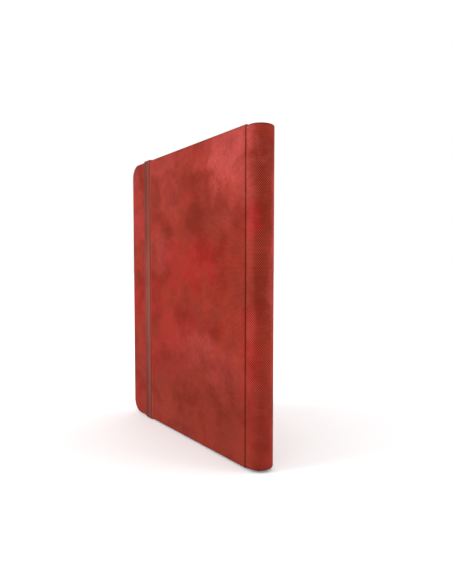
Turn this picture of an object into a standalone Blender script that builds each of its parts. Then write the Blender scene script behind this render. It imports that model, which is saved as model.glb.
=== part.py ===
"""Trading card binder with an elastic closure strap, closed and standing on its bottom edge.

Frame, in metres: +X runs from the opening edge to the rounded spine, +Y from the front
cover to the back cover, +Z up. The origin is the bottom centre of the whole binder.
"""

import math

import bmesh
import bpy
from mathutils import Matrix, Vector

# ---------------------------------------------------------------- driving dimensions
GAP = 0.0003                    # clearance between neighbouring solids

COVER_HEIGHT = 0.330            # covers, along Z
COVER_WIDTH = 0.2428            # covers, from the hinge line to the opening edge
BINDER_THICKNESS = 0.0269       # closed binder over both covers, along Y
CORNER_RADIUS = 0.0158          # rounded corners at the opening edge
EDGE_ROUND = 0.0008             # turned edge of the leatherette

SKIN = 0.0007                   # leatherette
BOARD = 0.0016                  # stiff board inside each cover
LINING = 0.0003                 # inner lining
CORE = 0.0015                   # curved former inside the spine

SPINE_FLAT = 0.0048             # straight part of the spine beside the hinge line
SPINE_BULGE = 0.0130            # half ellipse beyond the straight part
SPINE_STEP = 0.0013             # the spine ends this much short of the covers
SPINE_SEGMENTS = 32

CREASE_WIDTH = 0.0010           # thin flexing strip at the hinge line
CREASE_RECESS = 0.00045
HINGE_HALF = CREASE_WIDTH / 2 + GAP

STRAP_WIDTH = 0.0140
STRAP_THICK = 0.0010
STRAP_FROM_HINGE = 0.2003       # strap centre line, from the hinge line
STRAP_TAIL = 0.0220             # run on the back cover before the slot

LEAF_COUNT = 12
LEAF_PITCH = 0.00165
LEAF_HEIGHT = 0.307
LEAF_WIDTH = 0.2305             # from its binding line to its free edge
LEAF_CORNER = 0.0060
SHEET = 0.00025                 # backing sheet of a leaf
FILM = 0.00012                  # clear pocket film
POCKET_ROWS = 3
POCKET_COLUMNS = 3
POCKET_PITCH_X = 0.0713
POCKET_PITCH_Z = 0.1010
SLIT_WIDTH = 0.0012             # side-loading mouth of a pocket
SLIT_HEIGHT = 0.0930
STUB = 0.0145                   # bare sheet between the binding line and the pockets

BAR_INSET = 0.0052              # binding bar, inner face behind the hinge line
BAR_THICK = 0.0030
BAR_HALF = 0.0096
BAR_EXTRA = 0.0020
WEB_HALF = 0.0010

# ---------------------------------------------------------------- derived positions
HALF_T = BINDER_THICKNESS / 2
HINGE_X = COVER_WIDTH - (COVER_WIDTH + SPINE_FLAT + SPINE_BULGE) / 2
FORE_X = HINGE_X - COVER_WIDTH
COVER_LOW = STRAP_THICK + GAP
COVER_TOP = COVER_LOW + COVER_HEIGHT
MID_Z = (COVER_LOW + COVER_TOP) / 2
COVER_DEPTH = SKIN + GAP + BOARD + GAP + LINING
STRAP_X = HINGE_X - STRAP_FROM_HINGE
STRAP_Y = HALF_T + GAP
LEAF_PIVOT_X = HINGE_X - BAR_INSET - GAP


def clear_scene():
    for obj in list(bpy.data.objects):
        bpy.data.objects.remove(obj, do_unlink=True)


def make_material(name, color, roughness, metallic=0.0, alpha=1.0):
    mat = bpy.data.materials.new(name)
    mat.use_nodes = True
    shader = mat.node_tree.nodes["Principled BSDF"]
    shader.inputs["Base Color"].default_value = (*color, 1.0)
    shader.inputs["Roughness"].default_value = roughness
    shader.inputs["Metallic"].default_value = metallic
    shader.inputs["Alpha"].default_value = alpha
    mat.diffuse_color = (*color, alpha)
    return mat


RED = (0.36, 0.045, 0.028)
DARK_RED = (0.16, 0.016, 0.012)
STRAP_COLOR = (0.27, 0.055, 0.042)
GREY = (0.35, 0.33, 0.30)
BLACK = (0.012, 0.012, 0.014)
CLEAR = (0.80, 0.82, 0.84)


def new_object(name, bm, look, location=(0.0, 0.0, 0.0), parent=None, smooth=False):
    """Turn a bmesh, given in world metres, into an object whose origin is at location."""
    bmesh.ops.translate(bm, verts=bm.verts, vec=-Vector(location))
    bmesh.ops.recalc_face_normals(bm, faces=bm.faces)
    mesh = bpy.data.meshes.new(name)
    bm.to_mesh(mesh)
    bm.free()
    if smooth:
        mesh.shade_smooth()
        mesh.set_sharp_from_angle(angle=math.radians(40.0))
    mesh.materials.append(make_material(name, *look))
    obj = bpy.data.objects.new(name, mesh)
    bpy.context.collection.objects.link(obj)
    if parent is None:
        obj.location = location
    else:
        obj.parent = parent
        obj.location = Vector(location) - Vector(parent.location)
    return obj


def pivot(name, location, parent=None):
    empty = bpy.data.objects.new(name, None)
    empty.empty_display_size = 0.02
    empty.location = location
    bpy.context.collection.objects.link(empty)
    return empty


# ---------------------------------------------------------------- outlines
def cover_outline(inset, right, segments=12):
    """Open chain in XZ round three sides: bottom at the hinge, both corners, top."""
    left = FORE_X + inset
    low = COVER_LOW + inset
    top = COVER_TOP - inset
    radius = CORNER_RADIUS - inset
    chain = [(right, low)]
    for step in range(segments + 1):
        angle = -math.pi / 2 - math.pi / 2 * step / segments
        chain.append((left + radius + radius * math.cos(angle),
                      low + radius + radius * math.sin(angle)))
    for step in range(segments + 1):
        angle = math.pi - math.pi / 2 * step / segments
        chain.append((left + radius + radius * math.cos(angle),
                      top - radius + radius * math.sin(angle)))
    chain.append((right, top))
    return chain


def rounded_leaf_outline(left, right, low, top, radius, segments=4):
    """Closed outline in XZ with its two corners at the free edge rounded."""
    chain = [(right, low)]
    for step in range(segments + 1):
        angle = -math.pi / 2 - math.pi / 2 * step / segments
        chain.append((left + radius + radius * math.cos(angle),
                      low + radius + radius * math.sin(angle)))
    for step in range(segments + 1):
        angle = math.pi - math.pi / 2 * step / segments
        chain.append((left + radius + radius * math.cos(angle),
                      top - radius + radius * math.sin(angle)))
    chain.append((right, top))
    return chain


def spine_curve(inset, start):
    """Open chain in XY round the spine, at inset inside its outer surface."""
    half = HALF_T - inset
    bulge = SPINE_BULGE - inset
    centre = HINGE_X + SPINE_FLAT
    chain = [(start, -half)]
    for step in range(SPINE_SEGMENTS + 1):
        angle = -math.pi / 2 + math.pi * step / SPINE_SEGMENTS
        chain.append((centre + bulge * math.cos(angle), half * math.sin(angle)))
    chain.append((start, half))
    return chain


# ---------------------------------------------------------------- solids
def prism_xz(outline, y0, y1):
    """Closed outline in XZ carried from y0 to y1."""
    bm = bmesh.new()
    near = [bm.verts.new((x, y0, z)) for x, z in outline]
    far = [bm.verts.new((x, y1, z)) for x, z in outline]
    bm.faces.new(near)
    bm.faces.new(far)
    count = len(outline)
    for i in range(count):
        j = (i + 1) % count
        bm.faces.new((near[i], near[j], far[j], far[i]))
    return bm


def prism_xy(outline, z0, z1):
    """Closed outline in XY carried from z0 to z1."""
    bm = bmesh.new()
    low = [bm.verts.new((x, y, z0)) for x, y in outline]
    top = [bm.verts.new((x, y, z1)) for x, y in outline]
    bm.faces.new(low)
    bm.faces.new(top)
    count = len(outline)
    for i in range(count):
        j = (i + 1) % count
        bm.faces.new((low[i], low[j], top[j], top[i]))
    return bm


def box(x0, x1, y0, y1, z0, z1):
    return prism_xz([(x0, z0), (x1, z0), (x1, z1), (x0, z1)], y0, y1)


def tray(side):
    """Leatherette of one cover: outer sheet with its edges turned in on three sides."""
    right = HINGE_X - HINGE_HALF
    levels = []
    for step in range(5):
        angle = math.pi / 2 * step / 4
        inset = EDGE_ROUND * (1 - math.sin(angle))
        depth = EDGE_ROUND * (1 - math.cos(angle))
        levels.append((inset, depth))
    levels.append((0.0, COVER_DEPTH))
    levels.append((SKIN, COVER_DEPTH))
    levels.append((SKIN, SKIN))
    bm = bmesh.new()
    chains = []
    for inset, depth in levels:
        y = side * (HALF_T - depth)
        chains.append([bm.verts.new((x, y, z)) for x, z in cover_outline(inset, right)])
    for one, two in zip(chains, chains[1:]):
        for i in range(len(one) - 1):
            bm.faces.new((one[i], one[i + 1], two[i + 1], two[i]))
    bm.faces.new(chains[0])
    bm.faces.new(chains[-1])
    section = [chain[0] for chain in chains] + [chain[-1] for chain in reversed(chains)]
    bm.faces.new(section)
    return bm


def cover_layer(side, inset, right, depth, thick):
    outline = cover_outline(inset, right)
    return prism_xz(outline, side * (HALF_T - depth), side * (HALF_T - depth - thick))


def spine_layer(inset, thick, start, shorter):
    outer = spine_curve(inset, start)
    inner = spine_curve(inset + thick, start)
    outline = outer + inner[::-1]
    low = COVER_LOW + SPINE_STEP + shorter
    top = COVER_TOP - SPINE_STEP - shorter
    return prism_xy(outline, low, top)


def pocket_film(left, right, low, top, y0, y1):
    """Film with one slit through it at the spine side of each pocket."""
    columns = [left]
    for col in range(POCKET_COLUMNS):
        slit = right - 0.0016 - (POCKET_COLUMNS - 1 - col) * POCKET_PITCH_X
        columns += [slit - SLIT_WIDTH, slit]
    columns.append(right)
    rows = [low]
    middle = (low + top) / 2
    for row in range(POCKET_ROWS):
        centre = middle + (row - (POCKET_ROWS - 1) / 2) * POCKET_PITCH_Z
        rows += [centre - SLIT_HEIGHT / 2, centre + SLIT_HEIGHT / 2]
    rows.append(top)
    open_cols = {1 + 2 * c for c in range(POCKET_COLUMNS)}
    open_rows = {1 + 2 * r for r in range(POCKET_ROWS)}
    bm = bmesh.new()
    grid = {}
    for i, x in enumerate(columns):
        for k, z in enumerate(rows):
            for s, y in enumerate((y0, y1)):
                grid[i, k, s] = bm.verts.new((x, y, z))

    def solid(i, k):
        if not (0 <= i < len(columns) - 1 and 0 <= k < len(rows) - 1):
            return False
        return not (i in open_cols and k in open_rows)

    for i in range(len(columns) - 1):
        for k in range(len(rows) - 1):
            if not solid(i, k):
                continue
            for s in (0, 1):
                bm.faces.new((grid[i, k, s], grid[i + 1, k, s],
                              grid[i + 1, k + 1, s], grid[i, k + 1, s]))
            if not solid(i - 1, k):
                bm.faces.new((grid[i, k, 0], grid[i, k + 1, 0],
                              grid[i, k + 1, 1], grid[i, k, 1]))
            if not solid(i + 1, k):
                bm.faces.new((grid[i + 1, k, 0], grid[i + 1, k + 1, 0],
                              grid[i + 1, k + 1, 1], grid[i + 1, k, 1]))
            if not solid(i, k - 1):
                bm.faces.new((grid[i, k, 0], grid[i + 1, k, 0],
                              grid[i + 1, k, 1], grid[i, k, 1]))
            if not solid(i, k + 1):
                bm.faces.new((grid[i, k + 1, 0], grid[i + 1, k + 1, 0],
                              grid[i + 1, k + 1, 1], grid[i, k + 1, 1]))
    return bm


def strap_bridge(z0, z1, outer_up):
    """Strap over the top or under the bottom edge, its two outer edges rounded."""
    reach = STRAP_Y + STRAP_THICK
    radius = STRAP_THICK * 0.75
    section = [(-reach, 0.0), (reach, 0.0)]
    for step in range(5):
        angle = math.pi / 2 * step / 4
        section.append((reach - radius + radius * math.cos(angle),
                        STRAP_THICK - radius + radius * math.sin(angle)))
    for step in range(5):
        angle = math.pi / 2 + math.pi / 2 * step / 4
        section.append((-reach + radius + radius * math.cos(angle),
                        STRAP_THICK - radius + radius * math.sin(angle)))
    bm = bmesh.new()
    rows = []
    for x in (STRAP_X - STRAP_WIDTH / 2, STRAP_X + STRAP_WIDTH / 2):
        row = []
        for y, height in section:
            z = z0 + height if outer_up else z1 - height
            row.append(bm.verts.new((x, y, z)))
        rows.append(row)
    bm.faces.new(rows[0])
    bm.faces.new(rows[1])
    for i in range(len(section)):
        j = (i + 1) % len(section)
        bm.faces.new((rows[0][i], rows[0][j], rows[1][j], rows[1][i]))
    return bm


def strap_tail(end, sign):
    """Strap end on the back cover, turned in through its slot: an L in the YZ plane."""
    out0 = STRAP_Y
    out1 = STRAP_Y + STRAP_THICK
    deep = HALF_T - SKIN - GAP - BOARD + 0.0004
    turn = end + sign * STRAP_TAIL
    section = [(out1, end), (out1, turn), (deep, turn),
               (deep, turn - sign * STRAP_THICK), (out0, turn - sign * STRAP_THICK),
               (out0, end)]
    bm = bmesh.new()
    rows = []
    for x in (STRAP_X - STRAP_WIDTH / 2, STRAP_X + STRAP_WIDTH / 2):
        rows.append([bm.verts.new((x, y, z)) for y, z in section])
    bm.faces.new(rows[0])
    bm.faces.new(rows[1])
    for i in range(len(section)):
        j = (i + 1) % len(section)
        bm.faces.new((rows[0][i], rows[0][j], rows[1][j], rows[1][i]))
    return bm


def slot_cutter(name, end, sign):
    turn = end + sign * STRAP_TAIL
    z = sorted((turn + sign * GAP, turn - sign * (STRAP_THICK + GAP)))
    half = STRAP_WIDTH / 2 + GAP
    bm = box(STRAP_X - half, STRAP_X + half, HALF_T - 0.006, HALF_T + 0.004, z[0], z[1])
    cutter = new_object(name, bm, (GREY, 0.5))
    cutter.hide_render = True
    cutter.display_type = "WIRE"
    return cutter


def cut(obj, cutter):
    mod = obj.modifiers.new("Slot " + cutter.name, "BOOLEAN")
    mod.operation = "DIFFERENCE"
    mod.solver = "EXACT"
    mod.object = cutter


# ---------------------------------------------------------------- covers
def build_cover(label, side, parent):
    skin = new_object(label + "_cover_skin", tray(side), (RED, 0.55), parent=parent,
                      smooth=True)
    depth = SKIN + GAP
    board = new_object(label + "_cover_board",
                       cover_layer(side, SKIN + GAP, HINGE_X - 0.0030, depth, BOARD),
                       (GREY, 0.8), parent=parent)
    depth = depth + BOARD + GAP
    new_object(label + "_cover_lining",
               cover_layer(side, SKIN + GAP, HINGE_X - 0.0020, depth, LINING),
               (BLACK, 0.7), parent=parent)
    return skin, board


def build_crease(label, side, parent):
    outer = HALF_T - CREASE_RECESS
    y = sorted((side * outer, side * (outer - SKIN)))
    half = CREASE_WIDTH / 2
    bm = box(HINGE_X - half, HINGE_X + half, y[0], y[1],
             COVER_LOW + SPINE_STEP, COVER_TOP - SPINE_STEP)
    new_object(label + "_hinge_crease", bm, (DARK_RED, 0.6), parent=parent)


def build_spine(parent):
    start = HINGE_X + HINGE_HALF
    new_object("spine_skin", spine_layer(0.0, SKIN, start, 0.0), (RED, 0.55),
               parent=parent, smooth=True)
    inset = SKIN + GAP
    new_object("spine_former", spine_layer(inset, CORE, HINGE_X + 0.0020, 0.0010),
               (GREY, 0.8), parent=parent, smooth=True)
    inset = inset + CORE + GAP
    new_object("spine_lining", spine_layer(inset, LINING, HINGE_X + 0.0012, 0.0010),
               (BLACK, 0.7), parent=parent, smooth=True)
    half_bar = LEAF_HEIGHT / 2 + BAR_EXTRA
    face = HINGE_X - BAR_INSET
    new_object("binding_bar",
               box(face, face + BAR_THICK, -BAR_HALF, BAR_HALF,
                   MID_Z - half_bar, MID_Z + half_bar),
               (BLACK, 0.5), parent=parent)
    reach = SPINE_BULGE - inset - LINING
    half = HALF_T - inset - LINING
    tip = HINGE_X + SPINE_FLAT + reach * math.sqrt(1 - (WEB_HALF / half) ** 2)
    new_object("binding_web",
               box(face + BAR_THICK + GAP, tip - GAP, -WEB_HALF, WEB_HALF,
                   MID_Z - half_bar, MID_Z + half_bar),
               (BLACK, 0.5), parent=parent)


def build_leaf(number, y, parent):
    name = "page_%02d" % number
    low = MID_Z - LEAF_HEIGHT / 2
    top = MID_Z + LEAF_HEIGHT / 2
    left = LEAF_PIVOT_X - LEAF_WIDTH
    sheet = rounded_leaf_outline(left, LEAF_PIVOT_X, low, top, LEAF_CORNER)
    new_object(name + "_sheet", prism_xz(sheet, y - SHEET / 2, y + SHEET / 2),
               (BLACK, 0.45), parent=parent)
    near = SHEET / 2 + GAP
    edge = 0.0018
    for label, sign in (("front", -1), ("back", 1)):
        film = pocket_film(left + edge, LEAF_PIVOT_X - STUB, low + edge, top - edge,
                           y + sign * near, y + sign * (near + FILM))
        new_object(name + "_pockets_" + label, film, (CLEAR, 0.12, 0.0, 0.35),
                   parent=parent)


def build():
    clear_scene()
    back_pivot = pivot("spine_axis", (HINGE_X, HALF_T, MID_Z))
    front_pivot = pivot("front_cover_axis", (HINGE_X, -HALF_T, MID_Z))
    strap_pivot = pivot("strap_axis", (FORE_X, 0.0, MID_Z))

    skin, board = build_cover("back", 1, None)
    build_cover("front", -1, front_pivot)
    build_crease("back", 1, None)
    build_crease("front", -1, front_pivot)
    build_spine(back_pivot)

    for index in range(LEAF_COUNT):
        y = (index - (LEAF_COUNT - 1) / 2) * LEAF_PITCH
        leaf_pivot = pivot("page_%02d_axis" % (index + 1), (LEAF_PIVOT_X, y, MID_Z))
        build_leaf(index + 1, y, leaf_pivot)

    strap_look = (STRAP_COLOR, 0.75)
    total = COVER_HEIGHT + 2 * (STRAP_THICK + GAP)
    new_object("strap_bottom_bridge", strap_bridge(0.0, STRAP_THICK, False), strap_look)
    new_object("strap_top_bridge", strap_bridge(total - STRAP_THICK, total, True),
               strap_look)
    new_object("strap_front",
               box(STRAP_X - STRAP_WIDTH / 2, STRAP_X + STRAP_WIDTH / 2,
                   -STRAP_Y - STRAP_THICK, -STRAP_Y, COVER_LOW, COVER_TOP),
               strap_look, parent=strap_pivot)
    for label, end, sign in (("top", COVER_TOP, -1), ("bottom", COVER_LOW, 1)):
        new_object("strap_%s_tail" % label, strap_tail(end, sign), strap_look)
        cutter = slot_cutter("slot_cutter_" + label, end, sign)
        cut(skin, cutter)
        cut(board, cutter)


build()
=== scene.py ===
"""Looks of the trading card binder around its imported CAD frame."""
import math

import bpy
import bmesh
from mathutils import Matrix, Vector


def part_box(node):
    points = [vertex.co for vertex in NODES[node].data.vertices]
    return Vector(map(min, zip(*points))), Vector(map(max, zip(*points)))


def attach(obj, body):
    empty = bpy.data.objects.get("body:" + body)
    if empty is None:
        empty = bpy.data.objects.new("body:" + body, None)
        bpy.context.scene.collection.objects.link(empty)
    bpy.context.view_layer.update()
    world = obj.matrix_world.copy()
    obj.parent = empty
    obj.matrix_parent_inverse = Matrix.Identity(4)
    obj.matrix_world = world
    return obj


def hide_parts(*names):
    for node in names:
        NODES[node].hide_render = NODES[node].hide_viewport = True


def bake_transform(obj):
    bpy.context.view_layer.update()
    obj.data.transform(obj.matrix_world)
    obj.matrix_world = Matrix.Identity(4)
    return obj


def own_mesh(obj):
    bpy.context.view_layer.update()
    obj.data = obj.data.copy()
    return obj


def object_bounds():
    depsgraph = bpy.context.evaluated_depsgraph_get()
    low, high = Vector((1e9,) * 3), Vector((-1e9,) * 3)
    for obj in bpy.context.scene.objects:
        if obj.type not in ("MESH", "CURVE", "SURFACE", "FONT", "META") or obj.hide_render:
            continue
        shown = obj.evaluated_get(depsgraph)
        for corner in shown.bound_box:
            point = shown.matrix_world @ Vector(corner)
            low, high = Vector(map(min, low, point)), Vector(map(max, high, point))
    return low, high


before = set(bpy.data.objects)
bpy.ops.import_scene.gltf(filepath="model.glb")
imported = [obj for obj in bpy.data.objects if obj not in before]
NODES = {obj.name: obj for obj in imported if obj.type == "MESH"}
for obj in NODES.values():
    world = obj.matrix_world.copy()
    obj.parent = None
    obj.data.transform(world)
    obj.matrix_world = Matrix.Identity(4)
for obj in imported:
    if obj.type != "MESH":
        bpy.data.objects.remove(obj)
CAD_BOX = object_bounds()


# ------------------------------------------------------------------ sizes from the frame
def span(node):
    """The low and the high corner of a CAD node's box."""
    low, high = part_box(node)
    return [float(v) for v in low], [float(v) for v in high]


front_low, front_high = span("front_cover_skin")
spine_low, spine_high = span("spine_skin")
crease_low, crease_high = span("front_hinge_crease")
strap_low, strap_high = span("strap_front")

FORE_X = front_low[0]
LOW_Z = front_low[2]
TOP_Z = front_high[2]
MID_Z = (LOW_Z + TOP_Z) / 2
HALF_T = -front_low[1]             # half of the closed thickness
HINGE_X = (crease_low[0] + crease_high[0]) / 2
HINGE_HALF = HINGE_X - front_high[0]
COVER_DEPTH = front_high[1] - front_low[1]
SPINE_LOW = spine_low[2]
SPINE_TOP = spine_high[2]
SPINE_REACH = spine_high[0] - HINGE_X
SPINE_FLAT = 0.0048                # flat part of the spine before it rounds
GROOVE_X = HINGE_X - 0.0005        # middle of the front groove, just inside the hinge axis
OVERLAP = 0.0003                   # how far the leather reaches into a groove
COVER_RIGHT = GROOVE_X - HINGE_HALF + OVERLAP
SPINE_START = GROOVE_X + HINGE_HALF - OVERLAP
CORNER = 0.0158                    # radius of the covers' outer corners
SKIN = 0.0007                      # thickness of the leatherette
STRAP_THICK = strap_high[1] - strap_low[1]
STRAP_X = (strap_low[0] + strap_high[0]) / 2
STRAP_HALF = (strap_high[0] - strap_low[0]) / 2
STRAP_GAP = 0.0003                 # between the strap and what it lies on


# ------------------------------------------------------------------ mesh helpers
def quarter(steps):
    """(sine, cosine) of evenly spaced angles from 0 to 90 degrees."""
    return [(math.sin(math.pi / 2 * i / steps), math.cos(math.pi / 2 * i / steps))
            for i in range(steps + 1)]


def make_object(name, bm, mats, body=None, smooth=38.0):
    """An object from a bmesh, its edges sharp above smooth degrees, riding on body."""
    bmesh.ops.recalc_face_normals(bm, faces=bm.faces)
    mesh = bpy.data.meshes.new(name)
    bm.to_mesh(mesh)
    bm.free()
    if smooth:
        mesh.shade_smooth()
        mesh.set_sharp_from_angle(angle=math.radians(smooth))
    for mat in mats:
        mesh.materials.append(mat)
    obj = bpy.data.objects.new(name, mesh)
    bpy.context.scene.collection.objects.link(obj)
    if body:
        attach(obj, body)
    return obj


def rounded_loop(inset, y, right, segments=20, along=10):
    """Closed loop in XZ at y: a cover's outline, moved in by inset on all four sides."""
    left = FORE_X + inset
    low = LOW_Z + inset
    top = TOP_Z - inset
    radius = max(CORNER - inset, 0.002)
    edge = right - inset
    points = []
    for i in range(along):
        t = i / along
        points.append((edge + (left + radius - edge) * t, low))
    for i in range(segments + 1):
        a = -math.pi / 2 - math.pi / 2 * i / segments
        points.append((left + radius + radius * math.cos(a),
                       low + radius + radius * math.sin(a)))
    for i in range(segments + 1):
        a = math.pi - math.pi / 2 * i / segments
        points.append((left + radius + radius * math.cos(a),
                       top - radius + radius * math.sin(a)))
    for i in range(1, along + 1):
        t = i / along
        points.append((left + radius + (edge - left - radius) * t, top))
    return [(x, y, z) for x, z in points]


def loft_closed(loops):
    """Join neighbouring closed loops of equal length and cap both ends."""
    bm = bmesh.new()
    rings = [[bm.verts.new(p) for p in loop] for loop in loops]
    for one, two in zip(rings, rings[1:]):
        n = len(one)
        for i in range(n):
            j = (i + 1) % n
            bm.faces.new((one[i], one[j], two[j], two[i]))
    bm.faces.new(rings[0])
    bm.faces.new(rings[-1])
    return bm


# Unrolled leather coordinates: u runs round the outside from the front cover to the back.
ARC_CENTRE = HINGE_X + SPINE_FLAT
ARC_BULGE = SPINE_REACH - SPINE_FLAT
ARC_STEPS = 96


def spine_arc():
    """Length along the spine's outside up to each of its points."""
    points = [(HINGE_X, -HALF_T)]
    for i in range(ARC_STEPS + 1):
        a = -math.pi / 2 + math.pi * i / ARC_STEPS
        points.append((ARC_CENTRE + ARC_BULGE * math.cos(a), HALF_T * math.sin(a)))
    points.append((HINGE_X, HALF_T))
    total = [0.0]
    for p, q in zip(points, points[1:]):
        total.append(total[-1] + math.dist(p, q))
    return total


ARC_LENGTHS = spine_arc()
ARC_TOTAL = ARC_LENGTHS[-1]


def unrolled(co):
    """(u, v) in metres of a point on the outside of the leather."""
    x, y, z = co
    if x <= HINGE_X:
        if y < 0:
            return x - HINGE_X, z - MID_Z
        return ARC_TOTAL + HINGE_X - x, z - MID_Z
    if x < ARC_CENTRE:
        part = x - HINGE_X
        return (part if y < 0 else ARC_TOTAL - part), z - MID_Z
    a = math.atan2(y / HALF_T, (x - ARC_CENTRE) / ARC_BULGE)
    t = (a + math.pi / 2) / math.pi * ARC_STEPS
    i = min(max(int(t), 0), ARC_STEPS - 1)
    f = t - i
    return (ARC_LENGTHS[1 + i] * (1 - f) + ARC_LENGTHS[2 + i] * f), z - MID_Z


def add_sheet_uv(obj):
    """The unrolled sheet as a UV map, so that the mottling runs on from piece to piece."""
    mesh = obj.data
    layer = mesh.uv_layers.new(name="Sheet")
    coords = [unrolled(v.co) for v in mesh.vertices]
    for loop in mesh.loops:
        layer.data[loop.index].uv = coords[loop.vertex_index]


def add_painted_edge_shade(obj, function):
    """How much painted shade the leather gets at each point, 0 to 1."""
    mesh = obj.data
    attr = mesh.attributes.new("Edge", "FLOAT", "POINT")
    for v in mesh.vertices:
        attr.data[v.index].value = function(v.co)


# ------------------------------------------------------------------ node helpers
class Graph:
    """A material and the nodes that lead to its shader."""

    def __init__(self, name):
        self.mat = bpy.data.materials.new(name)
        self.mat.use_nodes = True
        self.tree = self.mat.node_tree
        self.shader = self.tree.nodes["Principled BSDF"]

    def node(self, kind, **props):
        node = self.tree.nodes.new(kind)
        for key, value in props.items():
            setattr(node, key, value)
        return node

    def link(self, source, target):
        self.tree.links.new(source, target)

    def put(self, socket, value):
        if isinstance(value, bpy.types.NodeSocket):
            self.link(value, socket)
        else:
            socket.default_value = value

    def math(self, op, a, b=0.0, c=0.0, clamp=False):
        node = self.node("ShaderNodeMath", operation=op, use_clamp=clamp)
        for socket, value in zip(node.inputs, (a, b, c)):
            self.put(socket, value)
        return node.outputs[0]

    def length(self, vector):
        node = self.node("ShaderNodeVectorMath", operation="LENGTH")
        self.put(node.inputs[0], vector)
        return node.outputs["Value"]

    def mapping(self, vector, scale=(1, 1, 1), rotate=0.0, move=(0, 0, 0)):
        node = self.node("ShaderNodeMapping")
        self.put(node.inputs["Vector"], vector)
        node.inputs["Scale"].default_value = scale
        node.inputs["Rotation"].default_value = (0, 0, rotate)
        node.inputs["Location"].default_value = move
        return node.outputs[0]

    def noise(self, vector, scale, detail=4.0, rough=0.55, warp=0.0):
        node = self.node("ShaderNodeTexNoise")
        self.put(node.inputs["Vector"], vector)
        node.inputs["Scale"].default_value = scale
        node.inputs["Detail"].default_value = detail
        node.inputs["Roughness"].default_value = rough
        node.inputs["Distortion"].default_value = warp
        return node.outputs["Fac"]

    def voronoi(self, vector, scale):
        node = self.node("ShaderNodeTexVoronoi", feature="F1")
        self.put(node.inputs["Vector"], vector)
        node.inputs["Scale"].default_value = scale
        return node.outputs["Distance"]

    def remap(self, value, low, high, to_low=0.0, to_high=1.0):
        node = self.node("ShaderNodeMapRange", interpolation_type="SMOOTHSTEP")
        self.put(node.inputs["Value"], value)
        node.inputs["From Min"].default_value = low
        node.inputs["From Max"].default_value = high
        node.inputs["To Min"].default_value = to_low
        node.inputs["To Max"].default_value = to_high
        return node.outputs[0]

    def mix(self, factor, a, b, mode="MIX"):
        node = self.node("ShaderNodeMix", data_type="RGBA", blend_type=mode)
        self.put(node.inputs["Factor"], factor)
        for socket, value in ((node.inputs["A"], a), (node.inputs["B"], b)):
            if isinstance(value, (tuple, list)) and len(value) == 3:
                value = (*value, 1.0)
            self.put(socket, value)
        return node.outputs["Result"]

    def bump(self, height, strength, distance, normal=None):
        node = self.node("ShaderNodeBump")
        node.inputs["Strength"].default_value = strength
        node.inputs["Distance"].default_value = distance
        self.put(node.inputs["Height"], height)
        if normal is not None:
            self.put(node.inputs["Normal"], normal)
        return node.outputs[0]

    def set(self, **values):
        for key, value in values.items():
            self.put(self.shader.inputs[key.replace("_", " ")], value)


def srgb(r, g, b, gain=1.0):
    """Linear colour, times one gain or one for each channel."""
    def lin(c):
        c = c / 255
        return c / 12.92 if c <= 0.04045 else ((c + 0.055) / 1.055) ** 2.4
    gains = gain if isinstance(gain, tuple) else (gain, gain, gain)
    return tuple(k * lin(c) for k, c in zip(gains, (r, g, b)))


# Colours below are as they look in this light; the gain takes each channel to the surface's own.
ALBEDO = (0.61, 0.56, 0.52)
HATCH = 0.0016                     # spacing of the pressed diagonal lines
HATCH_ANGLE = math.radians(42)

# Soft clouds of the mottled finish: (u, v, width, height, amount), metres on the sheet.
PINK_CLOUDS = [
    (-0.028, 0.142, 0.062, 0.050, 1.0),
    (-0.010, 0.120, 0.035, 0.060, 0.6),
    (-0.070, 0.150, 0.050, 0.030, 0.35),
    (-0.030, 0.095, 0.050, 0.050, 0.22),
    (-0.145, 0.115, 0.040, 0.045, 0.34),
    (-0.160, 0.155, 0.090, 0.022, 0.40),
    (-0.240, 0.150, 0.025, 0.030, 0.45),
    (-0.165, 0.052, 0.045, 0.045, 0.32),
    (-0.080, -0.062, 0.080, 0.030, 0.26),
    (-0.040, -0.075, 0.060, 0.035, 0.26),
    (-0.160, -0.145, 0.070, 0.025, 0.15),
    (-0.225, 0.095, 0.040, 0.050, 0.35),
    (0.004, 0.105, 0.012, 0.100, 0.30),
    (0.037, 0.020, 0.012, 0.200, 0.70),
    (0.006, 0.000, 0.008, 0.160, 0.22),
    (0.012, -0.110, 0.016, 0.050, 0.15),
    (0.031, 0.010, 0.012, 0.050, 0.45),
    (-0.078, -0.052, 0.040, 0.018, 0.45),
    (-0.055, -0.085, 0.030, 0.016, 0.35),
]
RED_CLOUDS = [
    (-0.100, 0.035, 0.110, 0.050, 0.75),
    (0.008, 0.074, 0.014, 0.032, 0.95),
    (-0.190, 0.000, 0.060, 0.060, 0.6),
    (-0.120, -0.045, 0.090, 0.050, 0.55),
    (-0.225, 0.100, 0.030, 0.060, 0.7),
    (-0.140, -0.080, 0.090, 0.050, 0.35),
    (-0.235, -0.020, 0.030, 0.050, 0.7),
    (-0.230, -0.140, 0.040, 0.040, 0.7),
    (0.006, -0.075, 0.024, 0.090, 0.55),
    (0.020, -0.130, 0.050, 0.070, 0.25),
    (-0.200, -0.085, 0.050, 0.060, 0.6),
    (-0.150, -0.060, 0.050, 0.030, 0.6),
]
BROWN_CLOUDS = [
    (-0.165, 0.105, 0.060, 0.050, 0.6),
    (-0.075, 0.070, 0.110, 0.050, 0.8),
    (-0.160, 0.020, 0.070, 0.050, 0.7),
    (-0.060, 0.010, 0.120, 0.060, 0.3),
    (-0.080, -0.100, 0.070, 0.060, 0.8),
    (-0.030, -0.110, 0.060, 0.060, 0.8),
    (-0.160, -0.120, 0.080, 0.050, 0.5),
    (-0.110, -0.150, 0.100, 0.030, 0.45),
    (-0.060, 0.092, 0.060, 0.030, 0.28),
    (0.018, -0.080, 0.020, 0.120, 0.75),
    (0.022, 0.040, 0.030, 0.180, 0.7),
    (0.018, 0.120, 0.024, 0.070, 0.85),
]

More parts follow.
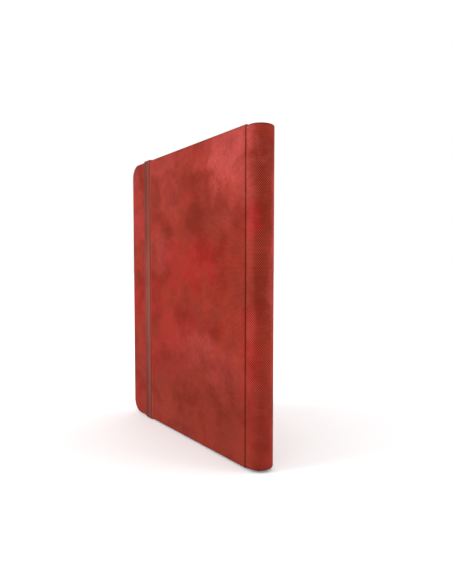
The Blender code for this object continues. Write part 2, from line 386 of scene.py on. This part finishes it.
DARK_RED = srgb(153, 50, 37, ALBEDO)
LIGHT_RED = srgb(173, 57, 44, ALBEDO)
BROWN = srgb(143, 50, 34, ALBEDO)
CRIMSON = srgb(184, 43, 43, ALBEDO)
PINK = srgb(212, 90, 88, ALBEDO)
DUSTY_PINK = srgb(184, 88, 74, ALBEDO)
LOW_PAINTED_SHADE = srgb(145, 58, 46, ALBEDO)
STRAP_SIDE_HIGHLIGHT = srgb(206, 104, 94, ALBEDO)
HATCH_LIGHT = srgb(214, 128, 118, ALBEDO)
PAINTED_EDGE_SHADE = srgb(96, 34, 27, ALBEDO)


def leather(name, painted_shade=1.0):
    """Mottled imitation leather with a pressed cross-hatch and painted shade on its rounded
    edges and in its grooves; the second argument darkens the whole copy as painted shade.
    """
    g = Graph(name)
    uv = g.node("ShaderNodeUVMap", uv_map="Sheet").outputs[0]

    def clouds(rows, seed):
        """The strongest of the given soft spots, their outlines broken up by noise."""
        warp = g.noise(g.mapping(uv, move=(seed, seed * 0.7, 0)), 38.0, 4.0, 0.6)
        shift = g.math("MULTIPLY", g.math("SUBTRACT", warp, 0.5), 1.5)
        total = None
        for u, v, width, height, amount in rows:
            local = g.mapping(uv, scale=(1 / width, 1 / height, 1),
                              move=(-u / width, -v / height, 0))
            far = g.math("ADD", g.length(local), shift)
            part = g.math("MULTIPLY", g.remap(far, 0.90, 0.25), amount)
            total = part if total is None else g.math("MAXIMUM", total, part)
        return total

    # coordinates drawn a little aside by noise, so that the mottling swirls
    drift = g.node("ShaderNodeVectorMath", operation="MULTIPLY_ADD")
    swirl = g.node("ShaderNodeTexNoise", noise_dimensions="2D")
    swirl.inputs["Scale"].default_value = 26.0
    swirl.inputs["Detail"].default_value = 4.0
    g.link(uv, swirl.inputs["Vector"])
    g.link(swirl.outputs["Color"], drift.inputs[0])
    drift.inputs[1].default_value = (0.012, 0.012, 0.0)
    g.link(uv, drift.inputs[2])
    bent = drift.outputs[0]
    large = g.noise(bent, 17.0, 6.0, 0.58, 0.6)
    medium = g.noise(g.mapping(bent, move=(3.1, 1.7, 0)), 46.0, 7.0, 0.64, 0.4)
    small = g.noise(g.mapping(bent, move=(0.4, 5.2, 0)), 150.0, 6.0, 0.66, 0.3)
    wisps = g.noise(g.mapping(bent, scale=(90, 240, 1), rotate=0.25), 1.0, 6.0, 0.66, 0.5)

    base = g.mix(g.remap(large, 0.40, 0.60), DARK_RED, LIGHT_RED)
    brown = g.math("ADD", g.math("MULTIPLY", clouds(BROWN_CLOUDS, 5.3),
                                 g.remap(small, 0.30, 0.60, 0.55, 1.0)),
                   g.remap(medium, 0.55, 0.72, 0.0, 0.40), clamp=True)
    base = g.mix(g.math("MULTIPLY", brown, 0.80), base, BROWN)
    red = g.math("MULTIPLY", clouds(RED_CLOUDS, 2.1), g.remap(medium, 0.32, 0.56))
    base = g.mix(g.math("MULTIPLY", red, 0.90), base, CRIMSON)
    pink = g.math("MULTIPLY", clouds(PINK_CLOUDS, 8.4), g.remap(small, 0.28, 0.62, 0.72, 1))
    base = g.mix(g.math("MULTIPLY", pink, 0.90), base, PINK)
    base = g.mix(g.remap(wisps, 0.50, 0.80, 0.0, 0.30), base, DUSTY_PINK)

    # painted shade: browner towards the lower edge, standing in for light that falls from above
    place = g.node("ShaderNodeSeparateXYZ")
    g.link(uv, place.inputs[0])
    base = g.mix(g.remap(place.outputs[1], 0.0, -0.17, 0.0, 0.42), base, LOW_PAINTED_SHADE)

    # painted highlight: a light line on the front cover just beside the strap's right edge
    strap_edge = STRAP_X + STRAP_HALF + 0.0012 - HINGE_X
    beside = g.math("ABSOLUTE", g.math("SUBTRACT", place.outputs[0], strap_edge))
    base = g.mix(g.remap(beside, 0.0016, 0.0004, 0.0, 0.42), base, STRAP_SIDE_HIGHLIGHT)

    # fine diagonal cross-hatch pressed into the sheet
    def hatch(angle):
        turned = g.mapping(uv, rotate=angle)
        axis = g.node("ShaderNodeSeparateXYZ")
        g.link(turned, axis.inputs[0])
        wave = g.math("SINE", g.math("MULTIPLY", axis.outputs[0], 2 * math.pi / HATCH))
        return g.math("MULTIPLY_ADD", wave, 0.5, 0.5)

    cross = g.math("MULTIPLY", hatch(HATCH_ANGLE), hatch(-HATCH_ANGLE))
    fade = g.remap(g.noise(g.mapping(uv, move=(7, 2, 0)), 30.0, 2.0), 0.30, 0.60, 0.50, 1)
    pattern = g.math("MULTIPLY", cross, fade)
    grain = g.noise(uv, 900.0, 4.0, 0.65)
    pores = g.voronoi(uv, 1100.0)
    value = g.math("ADD", g.remap(pattern, 0.0, 0.85, 0.72, 1.84),
                   g.math("ADD", g.remap(grain, 0.25, 0.75, -0.12, 0.12),
                          g.remap(small, 0.25, 0.75, -0.05, 0.05)))
    base = g.mix(1.0, base, value, "MULTIPLY")
    base = g.mix(g.remap(pattern, 0.35, 0.90, 0.0, 0.30), base, HATCH_LIGHT)

    # painted shade on the rounded edges and in the grooves, broken up by noise
    edge = g.node("ShaderNodeAttribute", attribute_name="Edge").outputs["Fac"]
    edge_shade = g.math("MULTIPLY", edge, g.remap(medium, 0.2, 0.7, 0.65, 1.0))
    base = g.mix(g.math("MULTIPLY", edge_shade, 0.8), base, PAINTED_EDGE_SHADE)
    # painted shade: the whole copy darkened, used for the leather pressed into the hinge grooves
    if painted_shade != 1.0:
        base = g.mix(1.0, base, (painted_shade, painted_shade, painted_shade), "MULTIPLY")

    height = g.math("ADD", g.math("MULTIPLY", pattern, 0.6),
                    g.math("ADD", g.math("MULTIPLY", grain, 0.5),
                           g.math("MULTIPLY", pores, 0.25)))
    normal = g.bump(height, 0.35, 0.00006)
    soft = g.bump(g.noise(uv, 60.0, 3.0), 0.20, 0.0004, normal)
    g.set(Base_Color=base, Normal=soft,
          Roughness=g.math("ADD", g.remap(large, 0.3, 0.7, 0.46, 0.58),
                           g.math("MULTIPLY", grain, 0.10)))
    g.shader.inputs["Specular IOR Level"].default_value = 0.02
    g.shader.inputs["Specular Tint"].default_value = (1.0, 0.55, 0.50, 1.0)
    return g.mat


RIB_PITCH = 0.00125                # the elastic's ribs along its length
WEFT_PITCH = 0.0007
BAND_DARK = srgb(130, 58, 48, ALBEDO)
BAND_LIGHT = srgb(162, 88, 78, ALBEDO)
BAND_SELVEDGE_AND_HIGHLIGHT = srgb(190, 96, 84, ALBEDO)
BAND_GROOVE = srgb(92, 38, 32, ALBEDO)
BAND_FUZZ = srgb(188, 112, 98, ALBEDO)


def elastic(name):
    """Flat woven elastic: ribs along its length, fine weft across, a lighter selvedge whose
    colour is partly a painted highlight on the band's edges.
    """
    g = Graph(name)
    uv = g.node("ShaderNodeUVMap", uv_map="Band").outputs[0]
    axis = g.node("ShaderNodeSeparateXYZ")
    g.link(uv, axis.inputs[0])
    across, along = axis.outputs[0], axis.outputs[1]
    rib = g.math("MULTIPLY_ADD",
                 g.math("SINE", g.math("MULTIPLY", across, 2 * math.pi / RIB_PITCH)), 0.5, 0.5)
    weft = g.math("MULTIPLY_ADD",
                  g.math("SINE", g.math("MULTIPLY", along, 2 * math.pi / WEFT_PITCH)), 0.5, 0.5)
    cloud = g.noise(uv, 24.0, 5.0, 0.6)
    fuzz = g.noise(g.mapping(uv, scale=(2500, 700, 1)), 1.0, 3.0)
    half = g.math("ABSOLUTE", across)
    # lighter selvedge, partly painted highlight standing in for light on the band's edge walls
    selvedge_and_highlight = g.remap(half, STRAP_HALF - 0.0010, STRAP_HALF - 0.0006)
    middle = g.math("ABSOLUTE", g.math("SUBTRACT", along, 0.165))
    light = g.math("MULTIPLY_ADD", g.remap(cloud, 0.35, 0.65), 0.4,
                   g.remap(middle, 0.12, 0.02, 0.0, 0.6))
    aside = g.math("ABSOLUTE", g.math("SUBTRACT", across, 0.0030))
    light = g.math("ADD", light, g.remap(aside, 0.0048, 0.0006, -0.15, 0.30), clamp=True)
    base = g.mix(light, BAND_DARK, BAND_LIGHT)
    base = g.mix(g.math("MULTIPLY", selvedge_and_highlight, 0.85), base, BAND_SELVEDGE_AND_HIGHLIGHT)
    base = g.mix(g.remap(rib, 0.0, 0.6, 0.30, 0.0), base, BAND_GROOVE)
    base = g.mix(g.remap(fuzz, 0.5, 0.85, 0.0, 0.35), base, BAND_FUZZ)
    height = g.math("ADD", g.math("MULTIPLY", rib, 0.6),
                    g.math("MULTIPLY", g.math("MULTIPLY", weft, rib), 0.5))
    g.set(Base_Color=base, Normal=g.bump(height, 0.7, 0.00025),
          Roughness=g.remap(fuzz, 0.2, 0.8, 0.68, 0.86))
    g.shader.inputs["Specular IOR Level"].default_value = 0.06
    return g.mat


def lining_cloth(name):
    """Fine black book cloth."""
    g = Graph(name)
    where = g.node("ShaderNodeTexCoord").outputs["Object"]

    def threads(direction):
        wave = g.node("ShaderNodeTexWave", wave_type="BANDS", bands_direction=direction)
        wave.inputs["Scale"].default_value = 620.0
        g.link(where, wave.inputs["Vector"])
        return wave.outputs["Fac"]

    weave = g.math("MAXIMUM", threads("X"), threads("Z"))
    cloud = g.noise(where, 35.0, 4.0)
    base = g.mix(g.remap(cloud, 0.3, 0.7), srgb(24, 23, 25), srgb(36, 34.5, 37.5))
    base = g.mix(g.remap(weave, 0.2, 1.0, 0.0, 0.4), base, srgb(58, 56, 60))
    g.set(Base_Color=base, Normal=g.bump(weave, 0.4, 0.0001),
          Roughness=g.remap(cloud, 0.3, 0.7, 0.78, 0.9))
    g.shader.inputs["Sheen Weight"].default_value = 0.2
    return g.mat


def page_sheet(name):
    """Black plastic backing sheet of a leaf."""
    g = Graph(name)
    where = g.node("ShaderNodeTexCoord").outputs["Object"]
    cloud = g.noise(where, 20.0, 3.0)
    base = g.mix(g.remap(cloud, 0.3, 0.7), srgb(17, 17, 19), srgb(25, 25, 28))
    g.set(Base_Color=base, Normal=g.bump(cloud, 0.10, 0.0003),
          Roughness=g.remap(cloud, 0.3, 0.7, 0.55, 0.65))
    g.shader.inputs["Specular IOR Level"].default_value = 0.15
    return g.mat


def pocket_film(name):
    """Clear film with a fine embossed weld line round each pocket."""
    g = Graph(name)
    where = g.node("ShaderNodeTexCoord").outputs["Object"]
    axis = g.node("ShaderNodeSeparateXYZ")
    g.link(where, axis.inputs[0])

    def near(value, start, pitch, half):
        """1 within half of each line of a grid, along one axis."""
        cell = g.math("FRACT", g.math("DIVIDE", g.math("SUBTRACT", value, start), pitch))
        away = g.math("MULTIPLY", g.math("ABSOLUTE", g.math("SUBTRACT", cell, 0.5)), pitch)
        return g.remap(away, pitch / 2 - half, pitch / 2 - half * 0.6)

    low, high = span("page_01_pockets_front")
    per_side = 3
    weld_half = 0.0012
    weld = g.math("MAXIMUM",
                  near(axis.outputs[0], low[0], (high[0] - low[0]) / per_side, weld_half),
                  near(axis.outputs[2], low[2], (high[2] - low[2]) / per_side, weld_half))
    slant = g.math("ADD", axis.outputs[0], axis.outputs[2])
    knurl = g.math("MULTIPLY_ADD",
                   g.math("SINE", g.math("MULTIPLY", slant, 2 * math.pi / weld_half)), 0.5, 0.5)
    ripple = g.noise(where, 9.0, 1.0)
    fine = g.noise(where, 60.0, 1.0)
    seam = g.math("MULTIPLY", weld, g.math("MULTIPLY_ADD", knurl, 0.5, 0.5))
    tint = g.mix(g.remap(fine, 0.3, 0.7), srgb(196, 200, 206), srgb(214, 218, 223))
    g.set(Base_Color=tint,
          Alpha=g.math("MULTIPLY_ADD", seam, 0.16, 0.04),
          Normal=g.bump(g.math("ADD", ripple, g.math("MULTIPLY", seam, 0.10)), 0.12, 0.0008),
          Roughness=g.remap(g.math("ADD", fine, g.math("MULTIPLY", weld, 0.4)),
                            0.3, 0.9, 0.24, 0.38))
    g.shader.inputs["Specular IOR Level"].default_value = 0.35
    return g.mat


def board_stock(name):
    """Grey board, its fibres lying flat."""
    g = Graph(name)
    where = g.node("ShaderNodeTexCoord").outputs["Object"]
    fibre = g.noise(g.mapping(where, scale=(300, 1200, 300)), 1.0, 4.0)
    base = g.mix(g.remap(fibre, 0.3, 0.7), srgb(150, 143, 132), srgb(176, 168, 155))
    g.set(Base_Color=base, Roughness=g.remap(fibre, 0.3, 0.7, 0.82, 0.92),
          Normal=g.bump(fibre, 0.4, 0.0002))
    return g.mat


def black_plastic(name):
    """Fine-grained black plastic of the binding strip."""
    g = Graph(name)
    where = g.node("ShaderNodeTexCoord").outputs["Object"]
    grain = g.noise(where, 1100.0, 3.0)
    cloud = g.noise(where, 60.0, 3.0)
    g.set(Base_Color=g.mix(g.remap(cloud, 0.3, 0.7), srgb(24, 24, 26), srgb(36, 36, 39)),
          Normal=g.bump(grain, 0.4, 0.0001), Roughness=g.remap(cloud, 0.3, 0.7, 0.48, 0.6))
    return g.mat


LEATHER = leather("red_leatherette")
# darker copy of the leather: painted shade for the leather pressed into the hinge grooves
LEATHER_GROOVE_SHADE = leather("red_leatherette_groove_shade", 0.80)
ELASTIC = elastic("woven_elastic")
LINING = lining_cloth("black_lining")
SHEET = page_sheet("black_page_sheet")
FILM = pocket_film("clear_pocket_film")
BOARD = board_stock("grey_board")
PLASTIC = black_plastic("black_binding_plastic")


def give(node, mat):
    """One material for a carried-over CAD node."""
    obj = NODES[node]
    obj.data.materials.clear()
    obj.data.materials.append(mat)


# ------------------------------------------------------------------ covers
EDGE_ROUND = 0.0011                # outer rounding of the cover's edge
EDGE_ROUND_IN = 0.0006             # the same on the inside
EDGE_HOLD = 0.0006                 # flat strip that keeps a rounding's shading to itself
FLANGE = 0.0115                    # width of the leather turned in over the board
TURN_IN = 0.00035                  # its thickness


def cover_side(side):
    """For one cover, the y of a depth below its outer face."""
    return lambda depth: side * (HALF_T - depth)


def cover_leather(label, side):
    """Leather round a cover: outer face, rounded edges, and the flange turned in."""
    at = cover_side(side)
    outline = [(EDGE_ROUND + 0.0025, 0.0), (EDGE_ROUND + EDGE_HOLD, 0.0)]
    outline += [(EDGE_ROUND * (1 - s), EDGE_ROUND * (1 - c)) for s, c in quarter(8)]
    outline += [(EDGE_ROUND_IN * (1 - c), COVER_DEPTH - EDGE_ROUND_IN * (1 - s))
                for s, c in quarter(6)]
    outline += [(EDGE_ROUND_IN + EDGE_HOLD, COVER_DEPTH), (FLANGE, COVER_DEPTH),
                (FLANGE, COVER_DEPTH - TURN_IN), (SKIN, COVER_DEPTH - TURN_IN), (SKIN, SKIN)]
    loops = [rounded_loop(inset, at(depth), COVER_RIGHT) for inset, depth in outline]
    obj = make_object(label + "_cover_leather", loft_closed(loops), [LEATHER],
                      label + "_cover")
    add_sheet_uv(obj)

    def painted_shade(co):
        """Painted shade: darkest on the rounded edges and at the hinge groove, gone before the
        flat faces begin.
        """
        rim = min(co.x - FORE_X, co.z - LOW_Z, TOP_Z - co.z)
        depth = HALF_T - abs(co.y)
        value = max(0.0, 1.0 - max(0.0, rim - 0.0006) / 0.0010) * min(1.0, depth / 0.0004 + 0.6)
        hinge = max(0.0, 1.0 - (COVER_RIGHT - co.x) / 0.0009) * min(1.0, depth / 0.0003)
        return min(1.0, max(value, hinge))

    add_painted_edge_shade(obj, painted_shade)
    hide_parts(label + "_cover_skin")
    return obj


def cover_lining(label, side):
    """Endpaper glued over the flange, a step lower inside it, with a margin of leather left."""
    at = cover_side(side)
    right = HINGE_X - 0.0012
    margin = 0.0050
    paper = 0.00018
    base = COVER_DEPTH + 0.00002
    high = COVER_DEPTH + paper
    deep = COVER_DEPTH - 0.00020
    outline = [(FLANGE + 0.0040, deep - paper), (FLANGE + 0.0016, deep - paper),
               (FLANGE + 0.0002, base), (margin, base),
               (margin + 0.00004, high - 0.00004), (margin + 0.00020, high),
               (FLANGE + 0.0003, high), (FLANGE + 0.0010, (high + deep) / 2),
               (FLANGE + 0.0018, deep), (FLANGE + 0.0040, deep)]
    loops = [rounded_loop(inset, at(depth), right) for inset, depth in outline]
    obj = make_object(label + "_cover_endpaper", loft_closed(loops), [LINING],
                      label + "_cover")
    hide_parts(label + "_cover_lining")


cover_leather("front", -1)
back_cover = cover_leather("back", 1)


def slot_level(label, sign):
    """Height of the slot that one strap end goes into."""
    low, high = span("strap_%s_tail" % label)
    return (low[2] if sign > 0 else high[2]) + sign * STRAP_THICK / 2


def cut_slot(obj, label, sign):
    """Opening in the back leather where a strap end goes in."""
    level = slot_level(label, sign)
    cutter = bmesh.new()
    bmesh.ops.create_cube(cutter, size=1.0)
    size = Vector((2 * STRAP_HALF + 0.0008, 0.006, STRAP_THICK + 0.0010))
    for v in cutter.verts:
        v.co = Vector((v.co.x * size.x + STRAP_X, v.co.y * size.y + HALF_T,
                       v.co.z * size.z + level))
    tool = make_object("slot_tool", cutter, [], smooth=0)
    mod = obj.modifiers.new("slot", "BOOLEAN")
    mod.operation = "DIFFERENCE"
    mod.solver = "EXACT"
    mod.object = tool
    shaped = bpy.data.meshes.new_from_object(
        obj.evaluated_get(bpy.context.evaluated_depsgraph_get()))
    obj.modifiers.clear()
    obj.data = shaped
    bpy.data.objects.remove(tool)


cut_slot(back_cover, "top", 1)
cut_slot(back_cover, "bottom", -1)
cover_lining("front", -1)
cover_lining("back", 1)


# ------------------------------------------------------------------ spine
def spine_chain(inset, segments=64):
    """The spine's outline from groove to groove, moved in by inset; its ends dip inwards."""
    half = HALF_T - inset
    bulge = ARC_BULGE - inset
    dip = [(0.0, 0.00085), (0.00008, 0.00055), (0.00026, 0.00028), (0.00055, 0.00009),
           (0.0010, 0.0)]
    chain = [(SPINE_START + dx, -(half - dy)) for dx, dy in dip]
    for i in range(segments + 1):
        a = -math.pi / 2 + math.pi * i / segments
        chain.append((ARC_CENTRE + bulge * math.cos(a), half * math.sin(a)))
    chain += [(SPINE_START + dx, half - dy) for dx, dy in reversed(dip)]
    return chain


def spine_leather():
    """Leather over the spine, rolled in round the former at the head and the tail."""
    width = 0.00278
    rim = 0.0008
    rim_in = 0.0005
    flange = 0.010
    fold = 0.0002
    roll = 0.00095

    def end(sign, tip):
        part = [(0.0, tip - sign * 2 * rim)]
        part += [(rim * (1 - c), tip - sign * rim * (1 - s)) for s, c in quarter(6)]
        part += [(width - rim_in * (1 - s), tip - sign * rim_in * (1 - c))
                 for s, c in quarter(4)]
        part += [(width, tip - sign * flange), (width - fold, tip - sign * flange),
                 (width - fold, tip - sign * roll), (SKIN, tip - sign * roll)]
        return part

    section = end(1, SPINE_TOP) + end(-1, SPINE_LOW)[::-1]
    rings = [[(x, y, z) for x, y in spine_chain(inset)] for inset, z in section]
    columns = [[ring[i] for ring in rings] for i in range(len(rings[0]))]
    obj = make_object("spine_leather", loft_closed(columns), [LEATHER], "spine")
    add_sheet_uv(obj)

    # painted shade: darkest at the rolled head and tail and where the spine dips into the groove
    def painted_shade(co):
        ends = min(co.z - SPINE_LOW, SPINE_TOP - co.z)
        value = min(1.0, max(0.0, 2.0 - ends / rim))
        groove = max(0.0, 1.0 - (co.x - SPINE_START) / 0.0004)
        return min(1.0, max(value, groove))

    add_painted_edge_shade(obj, painted_shade)
    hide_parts("spine_skin")


spine_leather()


def hinge_fold(label, side):
    """The leatherette pressed into the groove."""
    wide = 0.00105
    depth = 0.00075
    thick = 0.0005
    lift = 0.00028
    columns = 13
    low, top = SPINE_LOW + 0.0002, SPINE_TOP - 0.0002
    rings = []
    for i in range(columns):
        t = -1 + 2 * i / (columns - 1)
        x = GROOVE_X + wide * t
        outer = side * (HALF_T - depth + lift * t * t)
        inner = side * (HALF_T - depth + lift * t * t - thick)
        rings.append([(x, outer, low), (x, outer, top), (x, inner, top), (x, inner, low)])
    obj = make_object(label + "_hinge_fold", loft_closed(rings), [LEATHER_GROOVE_SHADE])
    add_sheet_uv(obj)
    # painted shade all over the fold in the groove
    add_painted_edge_shade(obj, lambda co: 0.3)
    if label == "front":
        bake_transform(obj)
    else:
        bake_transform(obj)
    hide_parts(label + "_hinge_crease")


hinge_fold("front", -1)
hinge_fold("back", 1)


# ------------------------------------------------------------------ elastic strap
def band_section(flat=15, corner=7):
    """Upper side of the band over its width: flat with shallow ribs, rounded selvedges."""
    radius = 0.0009
    drop = STRAP_THICK + 0.0002
    points = []
    for s, c in quarter(corner)[:-1]:
        points.append((-STRAP_HALF + radius * (1 - c), 0.5 * STRAP_THICK - drop * (1 - s)))
    inner = STRAP_HALF - radius
    for i in range(flat):
        x = inner * (-1 + 2 * i / (flat - 1))
        rib = 0.0
        if 0 < i < flat - 1:
            rib = 0.00005 * (math.cos(x / RIB_PITCH * 2 * math.pi) - 1)
        points.append((x, 0.5 * STRAP_THICK + rib))
    return points + [(-x, h) for x, h in points[corner - 1::-1]]


def band(name, path, normals, body):
    """Flat band along a path in the YZ plane at STRAP_X; normals point away from the covers."""
    profile = band_section()
    under = -0.5 * STRAP_THICK - 0.00022
    outline = profile + [(x, under) for x, h in profile[::-1]]
    rings = []
    lengths = [0.0]
    for a, b in zip(path, path[1:]):
        lengths.append(lengths[-1] + math.dist(a, b))
    for (y, z), (ny, nz) in zip(path, normals):
        rings.append([(STRAP_X + x, y + ny * h, z + nz * h) for x, h in outline])
    obj = make_object(name, loft_closed(rings), [ELASTIC], body, smooth=60.0)
    layer = obj.data.uv_layers.new(name="Band")
    per = len(outline)
    for loop in obj.data.loops:
        index = loop.vertex_index
        layer.data[loop.index].uv = (outline[index % per][0], lengths[index // per])
    return obj


def straight(y, z0, z1, ny, steps=24):
    """Straight upright stretch of the band's path, and the way it faces."""
    path = [(y, z0 + (z1 - z0) * i / steps) for i in range(steps + 1)]
    return path, [(ny, 0.0)] * len(path)


STRAP_OUT = STRAP_GAP + STRAP_THICK / 2
STRAP_MID = HALF_T + STRAP_OUT


def wrap_path(sign):
    """Over one edge, from the front run to the back tail, with round corners."""
    level = TOP_Z + STRAP_OUT if sign > 0 else LOW_Z - STRAP_OUT
    radius = 0.0016
    steps = 8
    start = level - sign * (radius + 0.0009)
    path = [(-STRAP_MID, start)]
    normals = [(-1.0, 0.0)]
    for s, c in quarter(steps):
        path.append((-STRAP_MID + radius * (1 - c), level - sign * radius * (1 - s)))
        normals.append((-c, sign * s))
    for i in range(1, steps):
        path.append((-STRAP_MID + radius + (2 * STRAP_MID - 2 * radius) * i / steps, level))
        normals.append((0.0, float(sign)))
    for s, c in quarter(steps):
        path.append((STRAP_MID - radius * (1 - s), level - sign * radius * (1 - c)))
        normals.append((s, sign * c))
    path.append((STRAP_MID, start))
    normals.append((1.0, 0.0))
    return path, normals, start


top_path, top_normals, top_start = wrap_path(1)
low_path, low_normals, low_start = wrap_path(-1)
run_path, run_normals = straight(-STRAP_MID, low_start, top_start, -1.0)
run = band("strap_front_run", run_path, run_normals, "strap")
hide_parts("strap_front")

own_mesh(run)
top_wrap = band("strap_top_wrap", top_path, top_normals, "back_cover")
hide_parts("strap_top_bridge")
low_wrap = band("strap_bottom_wrap", low_path, low_normals, "back_cover")
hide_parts("strap_bottom_bridge")
for piece, z in ((top_wrap, TOP_Z), (low_wrap, LOW_Z)):
    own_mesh(piece)


def strap_tail(label, sign):
    """A strap end: down the back cover, then round a bend into its slot."""
    level = slot_level(label, sign)
    tip = span("strap_%s_tail" % label)[0][1] + 0.0002
    start = top_start if sign > 0 else low_start
    radius = 0.0014
    path, normals = straight(STRAP_MID, start, level + sign * radius, 1.0, steps=8)
    for s, c in quarter(8)[1:]:
        path.append((STRAP_MID - radius * (1 - c), level + sign * radius * (1 - s)))
        normals.append((c, -sign * s))
    path.append((tip, level))
    normals.append((0.0, -float(sign)))
    obj = band("strap_%s_end" % label, path, normals, "back_cover")
    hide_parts("strap_%s_tail" % label)
    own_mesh(obj)


strap_tail("top", 1)
strap_tail("bottom", -1)


# ------------------------------------------------------------------ carried-over CAD nodes
for name in NODES:
    if name.endswith("_sheet"):
        give(name, SHEET)
    elif "_pockets_" in name:
        give(name, FILM)
    elif name.endswith("_board") or name == "spine_former":
        give(name, BOARD)
    elif name.startswith("binding_"):
        give(name, PLASTIC)
    elif name == "spine_lining":
        give(name, LINING)


# ------------------------------------------------------------------ camera, floor, light
FRAME_SIZE = 36.0                  # longer side of the camera's frame, mm
LENS = 29.4041                     # focal length, mm
YAW = math.radians(143.446)        # where the camera looks, from +X towards +Y
PITCH = 0.0515                     # and how far down, radians
HEIGHT = TOP_Z - LOW_Z
VIEW_X = spine_high[0] - 0.0166    # near the groove, where the camera's place counts from
EYE = (1.069, -0.867, 0.092)       # the camera's place from there, in heights
cam_data = bpy.data.cameras.new("camera")
cam_data.sensor_width = FRAME_SIZE
cam_data.lens = LENS
camera = bpy.data.objects.new("camera", cam_data)
bpy.context.scene.collection.objects.link(camera)
eye = Vector((VIEW_X + EYE[0] * HEIGHT, -HALF_T + EYE[1] * HEIGHT, MID_Z + EYE[2] * HEIGHT))
forward = Vector((math.cos(YAW) * math.cos(PITCH), math.sin(YAW) * math.cos(PITCH),
                  -math.sin(PITCH)))
camera.location = eye
camera.rotation_euler = forward.to_track_quat("-Z", "Y").to_euler()
bpy.context.scene.camera = camera

FLOOR_SIZE = 12.0
bm = bmesh.new()
bmesh.ops.create_grid(bm, x_segments=1, y_segments=1, size=FLOOR_SIZE)
floor_mesh = bpy.data.meshes.new("floor")
bm.to_mesh(floor_mesh)
bm.free()
floor = bpy.data.objects.new("floor", floor_mesh)
floor.location = (0, 0, CAD_BOX[0][2] - 0.0002)
bpy.context.scene.collection.objects.link(floor)
floor_graph = Graph("pale_floor")
floor_graph.set(Base_Color=(0.96, 0.96, 0.96, 1.0), Roughness=0.9)
floor_graph.shader.inputs["Specular IOR Level"].default_value = 0.1
floor_mesh.materials.append(floor_graph.mat)

world = bpy.data.worlds.new("studio")
world.use_nodes = True
world.node_tree.nodes["Background"].inputs["Color"].default_value = (1, 1, 1, 1)
world.node_tree.nodes["Background"].inputs["Strength"].default_value = 1.0
bpy.context.scene.world = world


def soft_sun(name, direction, spread, strength):
    """Distant light that comes from direction, spread over some degrees."""
    data = bpy.data.lights.new(name, "SUN")
    data.angle = math.radians(spread)
    data.energy = strength
    light = bpy.data.objects.new(name, data)
    light.rotation_euler = (-Vector(direction)).to_track_quat("-Z", "Y").to_euler()
    bpy.context.scene.collection.objects.link(light)


soft_sun("key", (-0.40, -0.85, 0.42), 28.0, 1.75)
soft_sun("rim", (0.72, 0.80, 0.30), 36.0, 1.6)
bpy.context.scene.view_settings.view_transform = "Standard"
